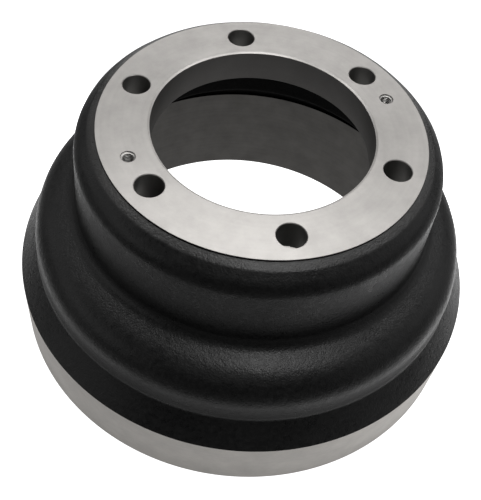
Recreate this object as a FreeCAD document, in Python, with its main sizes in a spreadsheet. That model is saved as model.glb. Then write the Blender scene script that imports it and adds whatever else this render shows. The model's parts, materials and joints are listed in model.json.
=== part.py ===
import FreeCAD, Part

import math
import os

import Sketcher

# Brake drum: one iron casting, turned where it locates on the hub and where the shoes rub.
# The drum stands on its open end. The origin is the centre of that end and +Z runs along the
# axis to the mounting face. Lengths are in millimetres and angles in degrees.

SIZES = {
    "drum_height": 193.0,            # open end to mounting face
    "web_thickness": 26.5,           # disc between the mounting face and the hub seat
    "pilot_bore": 167.0,             # diameter of the bore that centres the drum on its hub
    "bore_bevel_reach": 2.2,         # lead-in bevel of that bore, measured across its mouth
    "bore_bevel_depth": 1.0,         # the same bevel, measured down the bore
    "bore_inner_edge_break": 1.0,
    "bolt_ring_reach": 19.0,         # pilot bore's wall to the bolt circle
    "bolt_hole": 21.0,               # diameter
    "bolt_hole_edge_break": 0.4,
    "bolt_count": 6,
    "first_bolt_angle": 30.0,
    "puller_bore": 8.5,              # tapping diameter for an M10 screw
    "puller_edge_break": 1.25,
    "puller_count": 2,
    "puller_ring_offset": 1.0,       # bolt circle out to the tapped holes
    "puller_lag": 17.0,              # first bolt hole back to the first tapped hole
    "land_margin": 20.0,             # bolt circle to the edge of the mounting face
    "land_rise": 1.8,                # mounting face above the rough casting
    "land_edge_break": 0.4,
    "apron_fall": 22.0,              # slope of the casting just outside the mounting face
    "brow_radius": 5.0,              # round from that slope into the steeper one outside it
    "crown_slope_fall": 44.0,        # that steeper slope
    "crown_shoulder_radius": 19.8,   # round from there into the crown's wall
    "crown_reach": 16.5,             # edge of the mounting face to the crown's wall
    "crown_wall_drop": 22.0,         # mounting face to the top of the crown's wall
    "crown_draft": 2.0,              # taper of the crown's wall
    "crown_foot_radius": 11.0,       # hollow at the foot of the crown's wall
    "barrel_reach": 36.0,            # top of the crown's wall to the barrel
    "shoulder_fall": 21.5,           # slope of the straight run from that hollow to the shoulder
    "barrel_shoulder_radius": 31.5,  # round from that run into the barrel
    "barrel_shoulder_drop": 6.0,     # top of the friction surface to the start of that round
    "barrel_height": 12.7,           # straight part of the barrel
    "slope_foot_radius": 5.0,        # hollow between the barrel and the sloping shoulder
    "band_reach": 15.0,              # barrel to the turned band
    "band_width": 49.0,              # turned band around the open end
    "band_edge_break": 1.0,
    "rim_wall": 40.0,                # turned band to the friction surface
    "friction_width": 90.0,          # open end to the top of the friction surface
    "mouth_edge_break": 1.0,
    "relief_depth": 2.0,             # rough wall's step out above the friction surface
    "relief_height": 1.3,            # straight part of that rough wall
    "ledge_corner_radius": 8.0,      # hollow from the rough wall into the ledge
    "ledge_rise_angle": 40.0,        # slope of the ledge's underside
    "ledge_lip_radius": 4.0,         # round from the ledge up into the cavity
    "crown_wall": 16.0,              # thickness of the crown at the ledge's lip
    "cavity_draft": 1.0,             # taper of the cavity
    "hub_seat_radius": 8.0,          # hollow from the cavity's wall into the hub seat
}

SHEET = "Sizes"
QUARTER_TURN = 90.0
HALF_TURN = 180.0
FULL_TURN = 360.0
COUNTERSINK_ANGLE = 90.0
CLOSE = 1.0e-3

# The sketcher's numbers for an edge's two ends, a circle's centre and the origin.
FIRST = 1
LAST = 2
CENTRE = 3
ORIGIN = (-1, 1)

# Radii that more than one sketch uses, as sums of the sheet's cells.
BOLT_RING_RADIUS = "Sizes.pilot_bore / 2 + Sizes.bolt_ring_reach"
LAND_RADIUS = BOLT_RING_RADIUS + " + Sizes.land_margin"
CROWN_RADIUS = LAND_RADIUS + " + Sizes.crown_reach"
BAND_RADIUS = CROWN_RADIUS + " + Sizes.barrel_reach + Sizes.band_reach"


def polar(centre, radius, angle):
    """Point at a distance and an angle in degrees from a centre."""
    turn = math.radians(angle)
    return (centre[0] + radius * math.cos(turn), centre[1] + radius * math.sin(turn))


def touching_centre(first, first_angle, second, second_angle, radius):
    """Centre of a round that touches two lines, each given by a point and the angle square to it.

    The round lies on the side that the lines' angles point to, or on the other with a radius below zero.
    """
    first_normal = polar((0, 0), 1, first_angle)
    second_normal = polar((0, 0), 1, second_angle)
    first_reach = first[0] * first_normal[0] + first[1] * first_normal[1] + radius
    second_reach = second[0] * second_normal[0] + second[1] * second_normal[1] + radius
    spread = math.sin(math.radians(second_angle - first_angle))
    return ((first_reach * second_normal[1] - second_reach * first_normal[1]) / spread,
            (second_reach * first_normal[0] - first_reach * second_normal[0]) / spread)


def add_line(sketch, start, end):
    """Straight edge between two points of the sketch."""
    segment = Part.LineSegment(FreeCAD.Vector(*start, 0), FreeCAD.Vector(*end, 0))
    return sketch.addGeometry(segment, False)


def add_arc(sketch, centre, radius, start_angle, end_angle):
    """Round edge that runs anticlockwise from one angle to the other."""
    circle = Part.Circle(FreeCAD.Vector(*centre, 0), FreeCAD.Vector(0, 0, 1), radius)
    arc = Part.ArcOfCircle(circle, math.radians(start_angle), math.radians(end_angle))
    return sketch.addGeometry(arc, False)


def join(sketch, edge, edge_end, following, following_end):
    """Two edges that meet in a corner."""
    sketch.addConstraint(Sketcher.Constraint("Coincident", edge, edge_end, following, following_end))


def blend(sketch, edge, edge_end, following, following_end):
    """Two edges that meet and run smoothly into each other."""
    sketch.addConstraint(Sketcher.Constraint("Tangent", edge, edge_end, following, following_end))


def measure(sketch, kind, places, name, start_value, expression):
    """Size of a sketch, held by the sheet."""
    index = sketch.addConstraint(Sketcher.Constraint(kind, *places, start_value))
    sketch.renameConstraint(index, name)
    sketch.setExpression("Constraints." + name, expression)


def measure_cell(sketch, kind, places, cell):
    """Size of a sketch that is one cell of the sheet."""
    measure(sketch, kind, places, cell, SIZES[cell], "Sizes." + cell)


def measure_angle(sketch, edge, name, start_angle, expression):
    """Direction of a straight edge, from the level."""
    measure(sketch, "Angle", (edge,), name, math.radians(start_angle), expression)


def new_sketch(body, name, role):
    """Sketch on one of the body's own planes."""
    plane = next(feature for feature in body.Origin.OriginFeatures if feature.Role == role)
    sketch = body.newObject("Sketcher::SketchObject", name)
    sketch.AttachmentSupport = [(plane, "")]
    sketch.MapMode = "FlatFace"
    return sketch


def new_feature(body, kind, name):
    """Feature that follows the ones the body has."""
    feature = body.newObject("PartDesign::" + kind, name)
    body.Tip = feature
    return feature


def revolve(body, kind, name, sketch):
    """Full turn of a section about the drum's axis, added or cut away."""
    feature = new_feature(body, kind, name)
    feature.Profile = sketch
    feature.ReferenceAxis = (sketch, ["V_Axis"])
    feature.Angle = FULL_TURN
    body.Document.recompute()
    return feature


def circular_edges(shape, radius, height):
    """Names of the shape's full circles about the axis with a radius, at a height."""
    names = []
    for number, edge in enumerate(shape.Edges, start=1):
        if not isinstance(edge.Curve, Part.Circle):
            continue
        centre = edge.Curve.Center
        on_axis = math.hypot(centre.x, centre.y) < CLOSE
        if on_axis and abs(edge.Curve.Radius - radius) < CLOSE and abs(centre.z - height) < CLOSE:
            names.append("Edge" + str(number))
    return names


def break_edge(body, name, radius, height, cell):
    """Chamfer on one turned edge, given by its radius and height."""
    base = body.Tip
    edges = circular_edges(base.Shape, radius, height)
    if not edges:
        raise ValueError(name + " finds no edge")
    chamfer = new_feature(body, "Chamfer", name)
    chamfer.Base = (base, edges)
    chamfer.setExpression("Size", "Sizes." + cell)
    body.Document.recompute()
    return chamfer


def outside_section(body):
    """Half section of the casting's outside, from the axis round the bell and back."""
    sizes = SIZES
    land_radius = sizes["pilot_bore"] / 2 + sizes["bolt_ring_reach"] + sizes["land_margin"]
    crown_radius = land_radius + sizes["crown_reach"]
    barrel_radius = crown_radius + sizes["barrel_reach"]
    band_radius = barrel_radius + sizes["band_reach"]
    barrel_top = sizes["friction_width"] - sizes["barrel_shoulder_drop"]
    barrel_foot = barrel_top - sizes["barrel_height"]
    crown_wall_top = sizes["drum_height"] - sizes["crown_wall_drop"]

    # Crown's shoulder: a round from the crown's slope into its drafted wall.
    draft = sizes["crown_draft"]
    crown_round = sizes["crown_shoulder_radius"]
    slope_turn = QUARTER_TURN - sizes["crown_slope_fall"]
    wall_top = (crown_radius, crown_wall_top)
    crown_centre = polar(wall_top, crown_round, HALF_TURN + draft)
    crown_slope_foot = polar(crown_centre, crown_round, slope_turn)

    # Apron round the mounting face, and the brow between it and the crown's slope.
    brow_round = sizes["brow_radius"]
    apron_turn = QUARTER_TURN - sizes["apron_fall"]
    apron_top = (land_radius, sizes["drum_height"] - sizes["land_rise"])
    brow_centre = touching_centre(apron_top, apron_turn, crown_slope_foot, slope_turn, -brow_round)

    # Hollow at the crown's foot, then a straight run that falls to the barrel's shoulder.
    shoulder = sizes["barrel_shoulder_radius"]
    foot = sizes["crown_foot_radius"]
    shoulder_centre = (barrel_radius - shoulder, barrel_top)
    shoulder_turn = QUARTER_TURN - sizes["shoulder_fall"]
    run_foot = polar(shoulder_centre, shoulder, shoulder_turn)
    foot_centre = touching_centre(wall_top, draft, run_foot, shoulder_turn, foot)
    run_top = polar(foot_centre, foot, HALF_TURN + shoulder_turn)
    wall_foot = polar(foot_centre, foot, HALF_TURN + draft)

    # Hollow under the barrel: the sloping shoulder leaves the band's edge and touches it.
    slope_foot = sizes["slope_foot_radius"]
    slope_centre = (barrel_radius + slope_foot, barrel_foot)
    band_edge = (band_radius, sizes["band_width"])
    to_edge = (band_edge[0] - slope_centre[0], band_edge[1] - slope_centre[1])
    touch_angle = FULL_TURN + math.degrees(
        math.atan2(to_edge[1], to_edge[0]) - math.acos(slope_foot / math.hypot(*to_edge)))

    sketch = new_sketch(body, "outside_section", "XZ_Plane")
    open_end = add_line(sketch, (0, 0), (band_radius, 0))
    band = add_line(sketch, (band_radius, 0), band_edge)
    slope = add_line(sketch, band_edge, polar(slope_centre, slope_foot, touch_angle))
    slope_hollow = add_arc(sketch, slope_centre, slope_foot, HALF_TURN, touch_angle)
    barrel = add_line(sketch, (barrel_radius, barrel_foot), (barrel_radius, barrel_top))
    barrel_shoulder = add_arc(sketch, shoulder_centre, shoulder, 0, shoulder_turn)
    shoulder_run = add_line(sketch, run_foot, run_top)
    crown_foot = add_arc(sketch, foot_centre, foot, HALF_TURN + draft, HALF_TURN + shoulder_turn)
    crown_wall = add_line(sketch, wall_foot, wall_top)
    crown_shoulder = add_arc(sketch, crown_centre, crown_round, draft, slope_turn)
    crown_slope = add_line(sketch, crown_slope_foot, polar(brow_centre, brow_round, slope_turn))
    brow = add_arc(sketch, brow_centre, brow_round, slope_turn, apron_turn)
    apron = add_line(sketch, polar(brow_centre, brow_round, apron_turn), apron_top)
    top = add_line(sketch, apron_top, (0, apron_top[1]))
    axis = add_line(sketch, (0, apron_top[1]), (0, 0))

    join(sketch, open_end, FIRST, *ORIGIN)
    join(sketch, open_end, LAST, band, FIRST)
    join(sketch, band, LAST, slope, FIRST)
    blend(sketch, slope, LAST, slope_hollow, LAST)
    blend(sketch, slope_hollow, FIRST, barrel, FIRST)
    blend(sketch, barrel, LAST, barrel_shoulder, FIRST)
    blend(sketch, barrel_shoulder, LAST, shoulder_run, FIRST)
    blend(sketch, shoulder_run, LAST, crown_foot, LAST)
    blend(sketch, crown_foot, FIRST, crown_wall, FIRST)
    blend(sketch, crown_wall, LAST, crown_shoulder, FIRST)
    blend(sketch, crown_shoulder, LAST, crown_slope, FIRST)
    blend(sketch, crown_slope, LAST, brow, FIRST)
    blend(sketch, brow, LAST, apron, FIRST)
    join(sketch, apron, LAST, top, FIRST)
    join(sketch, top, LAST, axis, FIRST)
    join(sketch, axis, LAST, *ORIGIN)
    for level in (open_end, top):
        sketch.addConstraint(Sketcher.Constraint("Horizontal", level))
    for upright in (band, barrel, axis):
        sketch.addConstraint(Sketcher.Constraint("Vertical", upright))

    measure(sketch, "DistanceX", (*ORIGIN, apron, LAST), "land_radius", land_radius, LAND_RADIUS)
    measure(sketch, "DistanceX", (*ORIGIN, crown_wall, LAST), "crown_radius", crown_radius, CROWN_RADIUS)
    measure_cell(sketch, "DistanceX", (crown_wall, LAST, barrel, LAST), "barrel_reach")
    measure_cell(sketch, "DistanceX", (barrel, LAST, band, LAST), "band_reach")
    measure_cell(sketch, "DistanceY", (*ORIGIN, band, LAST), "band_width")
    measure_cell(sketch, "DistanceY", (barrel, FIRST, barrel, LAST), "barrel_height")
    measure(sketch, "DistanceY", (*ORIGIN, barrel, LAST), "barrel_top", barrel_top,
            "Sizes.friction_width - Sizes.barrel_shoulder_drop")
    measure(sketch, "DistanceY", (*ORIGIN, crown_wall, LAST), "crown_wall_top", crown_wall_top,
            "Sizes.drum_height - Sizes.crown_wall_drop")
    measure(sketch, "DistanceY", (*ORIGIN, apron, LAST), "apron_top", apron_top[1],
            "Sizes.drum_height - Sizes.land_rise")
    measure_angle(sketch, crown_wall, "crown_draft", QUARTER_TURN + draft, "90 + Sizes.crown_draft")
    measure_angle(sketch, shoulder_run, "shoulder_fall", QUARTER_TURN + shoulder_turn,
                  "180 - Sizes.shoulder_fall")
    measure_angle(sketch, crown_slope, "crown_slope_fall", QUARTER_TURN + slope_turn,
                  "180 - Sizes.crown_slope_fall")
    measure_angle(sketch, apron, "apron_fall", QUARTER_TURN + apron_turn, "180 - Sizes.apron_fall")
    measure_cell(sketch, "Radius", (slope_hollow,), "slope_foot_radius")
    measure_cell(sketch, "Radius", (barrel_shoulder,), "barrel_shoulder_radius")
    measure_cell(sketch, "Radius", (crown_foot,), "crown_foot_radius")
    measure_cell(sketch, "Radius", (crown_shoulder,), "crown_shoulder_radius")
    measure_cell(sketch, "Radius", (brow,), "brow_radius")
    return sketch


def inside_section(body):
    """Half section of the hollow: shoe space below, hub cavity above."""
    sizes = SIZES
    crown_radius = (sizes["pilot_bore"] / 2 + sizes["bolt_ring_reach"]
                    + sizes["land_margin"] + sizes["crown_reach"])
    friction_radius = (crown_radius + sizes["barrel_reach"] + sizes["band_reach"]
                       - sizes["rim_wall"])
    relief_radius = friction_radius + sizes["relief_depth"]
    lip_radius = crown_radius - sizes["crown_wall"]
    seat_height = sizes["drum_height"] - sizes["web_thickness"]
    friction_top = sizes["friction_width"]
    relief_top = friction_top + sizes["relief_height"]

    # Hollow from the rough wall into the ledge's sloping underside.
    rise = sizes["ledge_rise_angle"]
    corner = sizes["ledge_corner_radius"]
    corner_centre = (relief_radius - corner, relief_top)
    ledge_start = polar(corner_centre, corner, QUARTER_TURN - rise)

    # Round lip between the ledge and the drafted wall of the cavity.
    draft = sizes["cavity_draft"]
    lip = sizes["ledge_lip_radius"]
    lip_centre_radius = lip_radius + lip * math.cos(math.radians(draft))
    ledge_end_radius = lip_centre_radius - lip * math.sin(math.radians(rise))
    ledge_end = (ledge_end_radius,
                 ledge_start[1] + (ledge_start[0] - ledge_end_radius) * math.tan(math.radians(rise)))
    lip_centre = (lip_centre_radius, ledge_end[1] + lip * math.cos(math.radians(rise)))
    cavity_foot = polar(lip_centre, lip, HALF_TURN + draft)

    # Hollow from the cavity's wall into the hub seat.
    seat_round = sizes["hub_seat_radius"]
    seat_centre_height = seat_height - seat_round
    climb = seat_centre_height - cavity_foot[1]
    seat_centre = (cavity_foot[0] - climb * math.tan(math.radians(draft))
                   - seat_round / math.cos(math.radians(draft)), seat_centre_height)

    sketch = new_sketch(body, "inside_section", "XZ_Plane")
    mouth = add_line(sketch, (0, 0), (friction_radius, 0))
    friction = add_line(sketch, (friction_radius, 0), (friction_radius, friction_top))
    step = add_line(sketch, (friction_radius, friction_top), (relief_radius, friction_top))
    relief = add_line(sketch, (relief_radius, friction_top), (relief_radius, relief_top))
    ledge_corner = add_arc(sketch, corner_centre, corner, 0, QUARTER_TURN - rise)
    ledge = add_line(sketch, ledge_start, ledge_end)
    ledge_lip = add_arc(sketch, lip_centre, lip, HALF_TURN + draft, HALF_TURN + QUARTER_TURN - rise)
    cavity = add_line(sketch, cavity_foot, polar(seat_centre, seat_round, draft))
    seat_corner = add_arc(sketch, seat_centre, seat_round, draft, QUARTER_TURN)
    seat = add_line(sketch, (seat_centre[0], seat_height), (0, seat_height))
    axis = add_line(sketch, (0, seat_height), (0, 0))

    join(sketch, mouth, FIRST, *ORIGIN)
    join(sketch, mouth, LAST, friction, FIRST)
    join(sketch, friction, LAST, step, FIRST)
    join(sketch, step, LAST, relief, FIRST)
    blend(sketch, relief, LAST, ledge_corner, FIRST)
    blend(sketch, ledge_corner, LAST, ledge, FIRST)
    blend(sketch, ledge, LAST, ledge_lip, LAST)
    blend(sketch, ledge_lip, FIRST, cavity, FIRST)
    blend(sketch, cavity, LAST, seat_corner, FIRST)
    blend(sketch, seat_corner, LAST, seat, FIRST)
    join(sketch, seat, LAST, axis, FIRST)
    join(sketch, axis, LAST, *ORIGIN)
    for level in (mouth, step, seat):
        sketch.addConstraint(Sketcher.Constraint("Horizontal", level))
    for upright in (friction, relief, axis):
        sketch.addConstraint(Sketcher.Constraint("Vertical", upright))

    measure(sketch, "DistanceX", (*ORIGIN, friction, LAST), "friction_radius", friction_radius,
            BAND_RADIUS + " - Sizes.rim_wall")
    measure(sketch, "DistanceX", (*ORIGIN, cavity, FIRST), "lip_radius", lip_radius,
            CROWN_RADIUS + " - Sizes.crown_wall")
    measure_cell(sketch, "DistanceX", (friction, LAST, relief, FIRST), "relief_depth")
    measure_cell(sketch, "DistanceY", (*ORIGIN, friction, LAST), "friction_width")
    measure_cell(sketch, "DistanceY", (relief, FIRST, relief, LAST), "relief_height")
    measure(sketch, "DistanceY", (*ORIGIN, seat, LAST), "seat_height", seat_height,
            "Sizes.drum_height - Sizes.web_thickness")
    measure_angle(sketch, ledge, "ledge_rise_angle", HALF_TURN - rise, "180 - Sizes.ledge_rise_angle")
    measure_angle(sketch, cavity, "cavity_draft", QUARTER_TURN + draft, "90 + Sizes.cavity_draft")
    measure_cell(sketch, "Radius", (ledge_corner,), "ledge_corner_radius")
    measure_cell(sketch, "Radius", (ledge_lip,), "ledge_lip_radius")
    measure_cell(sketch, "Radius", (seat_corner,), "hub_seat_radius")
    return sketch


def ring_sketch(body, name, height_expression, radius, radius_expression):
    """Circle about the axis, level, at a height."""
    sketch = new_sketch(body, name, "XY_Plane")
    sketch.setExpression("AttachmentOffset.Base.z", height_expression)
    circle = sketch.addGeometry(Part.Circle(FreeCAD.Vector(), FreeCAD.Vector(0, 0, 1), radius), False)
    join(sketch, circle, CENTRE, *ORIGIN)
    measure(sketch, "Radius", (circle,), "ring_radius", radius, radius_expression)
    return sketch


def hole_sketch(body, name, ring_radius, ring_expression, angle, angle_expression, bore_cell):
    """One hole's circle on the mounting face, at an angle round its ring."""
    sketch = new_sketch(body, name, "XY_Plane")
    sketch.setExpression("AttachmentOffset.Base.z", "Sizes.drum_height")
    centre = polar((0, 0), ring_radius, angle)
    spoke = sketch.addGeometry(Part.LineSegment(FreeCAD.Vector(), FreeCAD.Vector(*centre, 0)), True)
    bore_radius = SIZES[bore_cell] / 2
    bore = Part.Circle(FreeCAD.Vector(*centre, 0), FreeCAD.Vector(0, 0, 1), bore_radius)
    circle = sketch.addGeometry(bore, False)
    join(sketch, spoke, FIRST, *ORIGIN)
    join(sketch, spoke, LAST, circle, CENTRE)
    measure(sketch, "Distance", (spoke,), "ring_radius", ring_radius, ring_expression)
    measure_angle(sketch, spoke, "ring_angle", angle, angle_expression)
    measure(sketch, "Radius", (circle,), "bore_radius", bore_radius, "Sizes." + bore_cell + " / 2")
    return sketch


def drill_ring(body, name, sketch, bore_cell, edge_break_cell, count_cell):
    """Through holes with broken edges, spread evenly round the axis."""
    body.Document.recompute()
    hole = new_feature(body, "Hole", name)
    hole.Profile = sketch
    hole.ThreadType = "None"
    hole.DepthType = "ThroughAll"
    hole.HoleCutType = "Countersink"
    hole.HoleCutCustomValues = True
    hole.HoleCutCountersinkAngle = COUNTERSINK_ANGLE
    hole.setExpression("Diameter", "Sizes." + bore_cell)
    hole.setExpression("HoleCutDiameter", "Sizes." + bore_cell + " + 2 * Sizes." + edge_break_cell)
    body.Document.recompute()
    pattern = new_feature(body, "PolarPattern", name + "_ring")
    pattern.Originals = [hole]
    pattern.Axis = (sketch, ["N_Axis"])
    pattern.Angle = FULL_TURN
    pattern.setExpression("Occurrences", "Sizes." + count_cell)
    body.Tip = pattern
    body.Document.recompute()


def add_mounting_land(body, land_radius):
    """Raised disc whose turned top is the mounting face."""
    sketch = ring_sketch(body, "land_outline", "Sizes.drum_height - Sizes.web_thickness",
                         land_radius, LAND_RADIUS)
    land = new_feature(body, "Pad", "mounting_land")
    land.Profile = sketch
    land.setExpression("Length", "Sizes.web_thickness")
    body.Document.recompute()
    break_edge(body, "land_edge", land_radius, SIZES["drum_height"], "land_edge_break")


def cut_pilot_bore(body):
    """Bore through the web, with a shallow bevel above and a broken edge below."""
    bore_radius = SIZES["pilot_bore"] / 2
    sketch = ring_sketch(body, "pilot_outline", "Sizes.drum_height", bore_radius, "Sizes.pilot_bore / 2")
    bore = new_feature(body, "Pocket", "pilot_bore")
    bore.Profile = sketch
    bore.Type = "ThroughAll"
    body.Document.recompute()
    mounting_face = SIZES["drum_height"]
    hub_seat = mounting_face - SIZES["web_thickness"]
    bevel = break_edge(body, "bore_bevel", bore_radius, mounting_face, "bore_bevel_depth")
    bevel.ChamferType = "Two distances"
    bevel.setExpression("Size2", "Sizes.bore_bevel_reach")
    body.Document.recompute()
    if not circular_edges(body.Shape, bore_radius + SIZES["bore_bevel_reach"], mounting_face):
        raise ValueError("the bore's bevel has its two sizes the wrong way round")
    break_edge(body, "bore_inner_edge", bore_radius, hub_seat, "bore_inner_edge_break")


def make_sheet(doc):
    """Sheet of the driving sizes, each cell named after its size."""
    sheet = doc.addObject("Spreadsheet::Sheet", SHEET)
    for row, (name, size) in enumerate(SIZES.items(), start=1):
        sheet.set("A" + str(row), name)
        sheet.set("B" + str(row), str(size))
        sheet.setAlias("B" + str(row), name)
    doc.recompute()


def make_brake_drum(doc):
    """The whole drum as one body, in the order it is made: cast, turned, drilled."""
    body = doc.addObject("PartDesign::Body", "brake_drum")
    body.Label = "brake_drum"
    body.Placement = FreeCAD.Placement()

    bolt_ring_radius = SIZES["pilot_bore"] / 2 + SIZES["bolt_ring_reach"]
    land_radius = bolt_ring_radius + SIZES["land_margin"]
    barrel_radius = land_radius + SIZES["crown_reach"] + SIZES["barrel_reach"]
    band_radius = barrel_radius + SIZES["band_reach"]
    friction_radius = band_radius - SIZES["rim_wall"]

    revolve(body, "Revolution", "casting", outside_section(body))
    add_mounting_land(body, land_radius)
    solid_volume = body.Shape.Volume
    revolve(body, "Groove", "hollow", inside_section(body))
    if body.Shape.Volume >= solid_volume:
        raise ValueError("the hollow cuts nothing")
    break_edge(body, "band_edge", band_radius, 0, "band_edge_break")
    break_edge(body, "mouth_edge", friction_radius, 0, "mouth_edge_break")
    cut_pilot_bore(body)

    bolt_sketch = hole_sketch(body, "bolt_hole_outline", bolt_ring_radius, BOLT_RING_RADIUS,
                              SIZES["first_bolt_angle"], "Sizes.first_bolt_angle", "bolt_hole")
    drill_ring(body, "bolt_hole", bolt_sketch, "bolt_hole", "bolt_hole_edge_break", "bolt_count")

    puller_sketch = hole_sketch(body, "puller_hole_outline",
                                bolt_ring_radius + SIZES["puller_ring_offset"],
                                BOLT_RING_RADIUS + " + Sizes.puller_ring_offset",
                                SIZES["first_bolt_angle"] - SIZES["puller_lag"],
                                "Sizes.first_bolt_angle - Sizes.puller_lag", "puller_bore")
    drill_ring(body, "puller_hole", puller_sketch, "puller_bore", "puller_edge_break", "puller_count")
    return body


def check_document(doc, body):
    """Stop unless every object is sound and the drum is one valid solid."""
    for item in doc.Objects:
        if "Invalid" in item.State or "Error" in item.State:
            raise ValueError(item.Name + " failed: " + str(item.State))
    shape = body.Shape
    if shape.isNull() or not shape.isValid() or len(shape.Solids) != 1:
        raise ValueError("the drum is not one valid solid")


document = FreeCAD.newDocument("brake_drum")
make_sheet(document)
drum = make_brake_drum(document)
document.recompute()
check_document(document, drum)
os.makedirs("parts", exist_ok=True)
drum.Shape.exportStep("parts/" + drum.Label + ".step")
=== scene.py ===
import json
import math

import bmesh
import bpy
from bpy.props import FloatProperty, FloatVectorProperty, IntProperty, PointerProperty
from mathutils import Matrix, Vector, noise


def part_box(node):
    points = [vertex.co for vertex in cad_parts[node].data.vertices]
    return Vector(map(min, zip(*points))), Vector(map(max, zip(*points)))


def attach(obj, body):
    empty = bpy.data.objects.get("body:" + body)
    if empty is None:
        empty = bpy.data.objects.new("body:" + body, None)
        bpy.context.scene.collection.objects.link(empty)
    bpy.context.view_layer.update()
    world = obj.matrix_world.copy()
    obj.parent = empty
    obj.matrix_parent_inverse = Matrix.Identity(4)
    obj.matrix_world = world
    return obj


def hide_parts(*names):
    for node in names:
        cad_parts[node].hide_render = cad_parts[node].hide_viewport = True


bl_info = {
    "name": "Brake Drum",
    "version": (1, 0, 0),
    "blender": (4, 5, 0),
    "location": "View3D > Sidebar > Brake Drum",
    "description": "Cast brake drum with turned faces, drilled and tapped mounting face, "
                   "and its studio",
    "category": "Add Mesh",
}

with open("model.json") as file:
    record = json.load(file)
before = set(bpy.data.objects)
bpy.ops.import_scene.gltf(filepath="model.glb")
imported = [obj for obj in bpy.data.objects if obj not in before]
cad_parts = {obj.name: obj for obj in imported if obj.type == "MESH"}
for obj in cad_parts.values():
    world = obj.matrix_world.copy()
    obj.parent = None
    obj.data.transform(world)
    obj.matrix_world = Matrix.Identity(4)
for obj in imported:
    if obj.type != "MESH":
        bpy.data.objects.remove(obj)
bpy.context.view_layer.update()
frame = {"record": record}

NODE = "brake_drum"
BODY = "root"
MILLIMETRE = 0.001

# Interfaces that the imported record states: they are the same faces and holes as in the solid.
MOUNTS = {mount["name"]: mount for mount in frame["record"]["mounts"]}
LOW_CORNER, HIGH_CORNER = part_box(NODE)


def mount_size(name, key):
    """Dimension of a mount, in metres."""
    return MOUNTS[name]["dims"][key] * MILLIMETRE


def length(name, description, default):
    """Property for a length, in metres."""
    return FloatProperty(
        name=name, description=description, default=default, unit="LENGTH", precision=5)


def angle(name, description, degrees):
    """Property for an angle, given in degrees."""
    return FloatProperty(
        name=name, description=description, default=math.radians(degrees), unit="ROTATION")


def number(name, description, default):
    """Property for a plain number."""
    return FloatProperty(name=name, description=description, default=default)


def colour(name, description, default):
    """Property for a colour."""
    return FloatVectorProperty(
        name=name, description=description, default=default, subtype="COLOR", size=3, min=0, max=1)


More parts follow.
